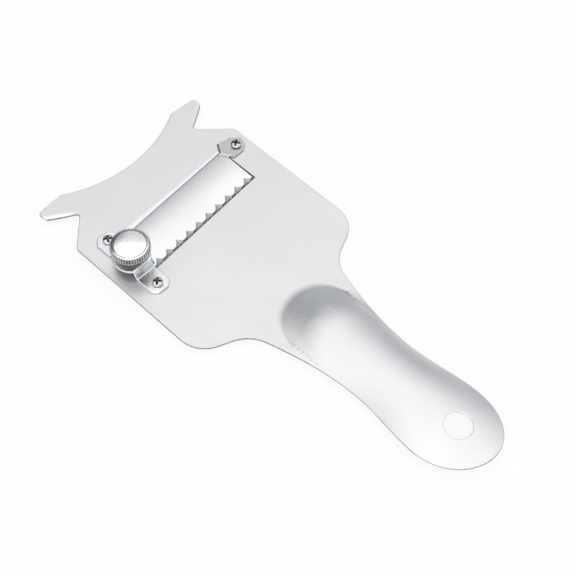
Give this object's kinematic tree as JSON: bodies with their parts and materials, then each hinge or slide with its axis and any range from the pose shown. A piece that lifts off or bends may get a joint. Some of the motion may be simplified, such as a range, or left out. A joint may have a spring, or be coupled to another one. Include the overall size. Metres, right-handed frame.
{
  "type": "truffle slicer",
  "caption": "Stamped steel truffle slicer with an arched handle, horned front, notched blade across a window and a knurled thickness screw on a bridge.",
  "frame": {"origin": "centre of the bounding box's underside, level with the tips of the screws", "axes": "+X along the tool from the horned front to the handle's end, +Z out of the side that carries the knob"},
  "size_m": [0.2, 0.0862, 0.0171],
  "materials": {
    "plate_steel": "fine satin brushing",
    "blade_steel": "satin, ground edge",
    "bridge_steel": "tumbled bright",
    "knob_plating": "polished, straight knurl",
    "stud_steel": "rolled thread",
    "washer_steel": "stamped",
    "screw_steel": "bright zinc-like",
    "nut_steel": "bright"
  },
  "bodies": {
    "root": {"body_plate": "plate_steel", "knob_bridge": "bridge_steel", "blade_screw": "screw_steel", "blade_nut": "nut_steel", "bridge_screw_front": "screw_steel", "bridge_screw_rear": "screw_steel", "bridge_nut_front": "nut_steel", "bridge_nut_rear": "nut_steel"},
    "stud_carriage": {"swivel_washer": "washer_steel"},
    "knob": {"thumb_knob": "knob_plating", "knob_stud": "stud_steel"},
    "blade": {"blade": "blade_steel"}
  },
  "joints": [
    {"name": "stud_travel", "type": "slide", "parent": "root", "child": "stud_carriage", "axis": [0, 0, 1], "range_m": [-0.0009, 0.0009]},
    {"name": "knob_turn", "type": "hinge", "parent": "stud_carriage", "child": "knob", "pos_m": [-0.0542, -0.0322, 0.013], "axis": [0, 0, 1], "range_deg": [-450, 450]},
    {"name": "blade_tilt", "type": "hinge", "parent": "root", "child": "blade", "pos_m": [-0.0675, 0.0368, 0.00425], "axis": [1, 0, 0], "range_deg": [-0.75, 0.75]}
  ],
  "couplings": [
    {"joint": "stud_travel", "follows": "knob_turn", "m_per_rad": 0.00011141},
    {"joint": "blade_tilt", "follows": "knob_turn", "ratio": -0.0016146}
  ]
}
